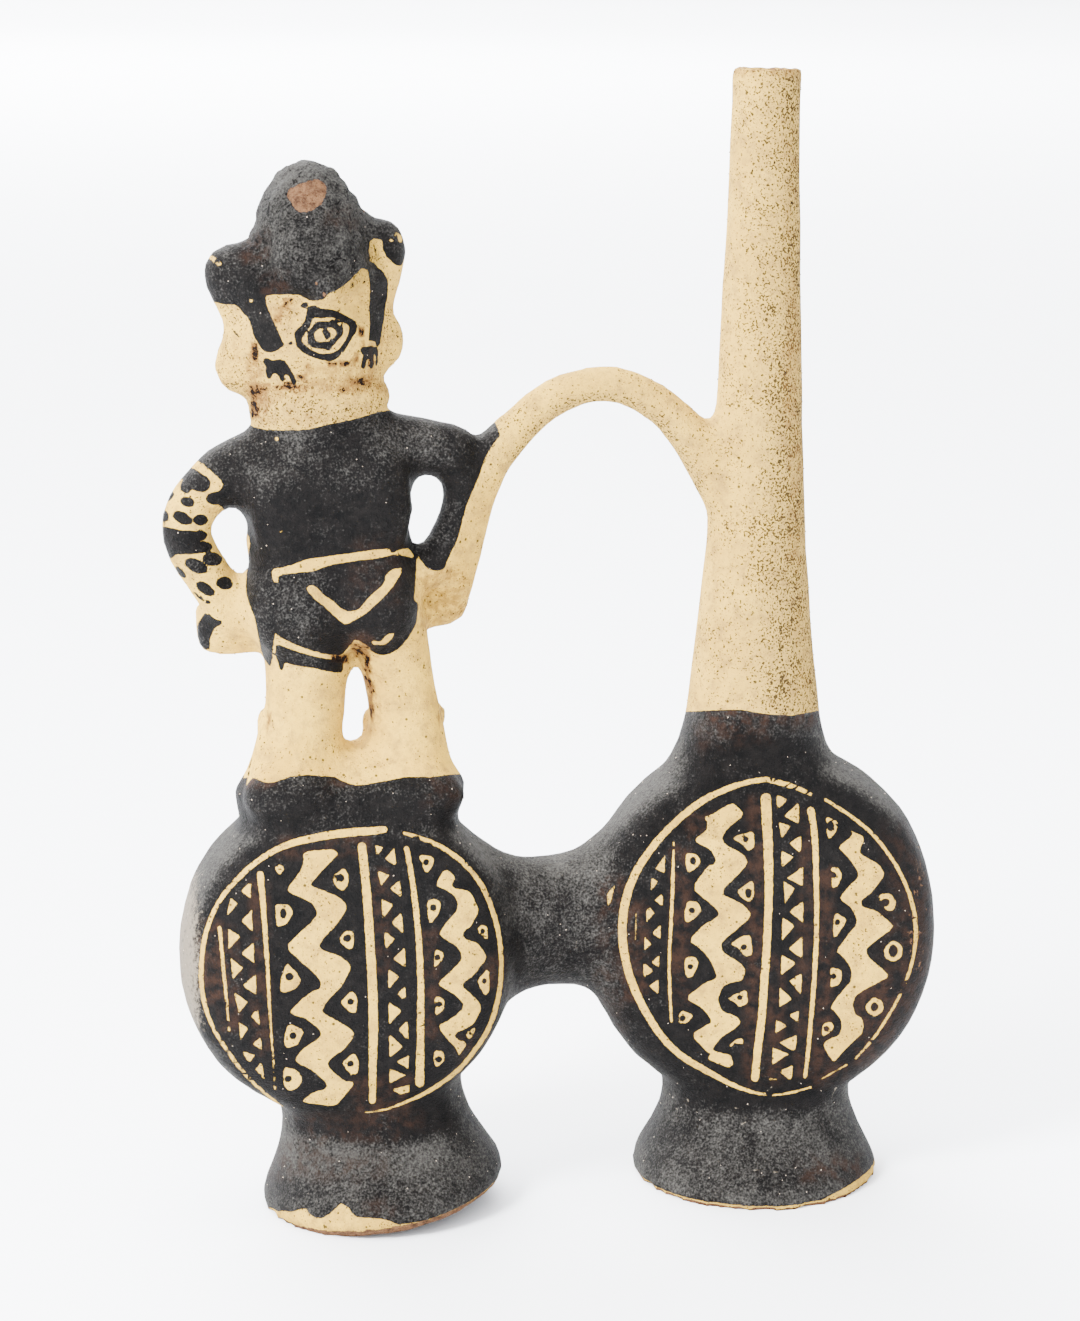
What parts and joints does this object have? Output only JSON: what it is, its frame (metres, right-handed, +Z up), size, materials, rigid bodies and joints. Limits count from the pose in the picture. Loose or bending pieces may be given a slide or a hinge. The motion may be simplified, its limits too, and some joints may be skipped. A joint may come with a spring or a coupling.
{
  "type": "double-chambered whistling vessel",
  "caption": "Hollow fired-clay whistling bottle: paired round chambers on flared feet, a tall spout, and a handle arching to a standing figure.",
  "frame": {"origin": "the middle of the bounding box, on the table that the feet stand on", "axes": "+Z up; +X from the figure's chamber to the spout's chamber; -Y out of the painted faces and the figure's back"},
  "size_m": [0.208, 0.0674, 0.3002],
  "materials": {
    "slipped_fired_clay": "matt, hand-painted slip over buff clay"
  },
  "bodies": {
    "root": {"whistling_vessel": "slipped_fired_clay"}
  },
  "joints": []
}
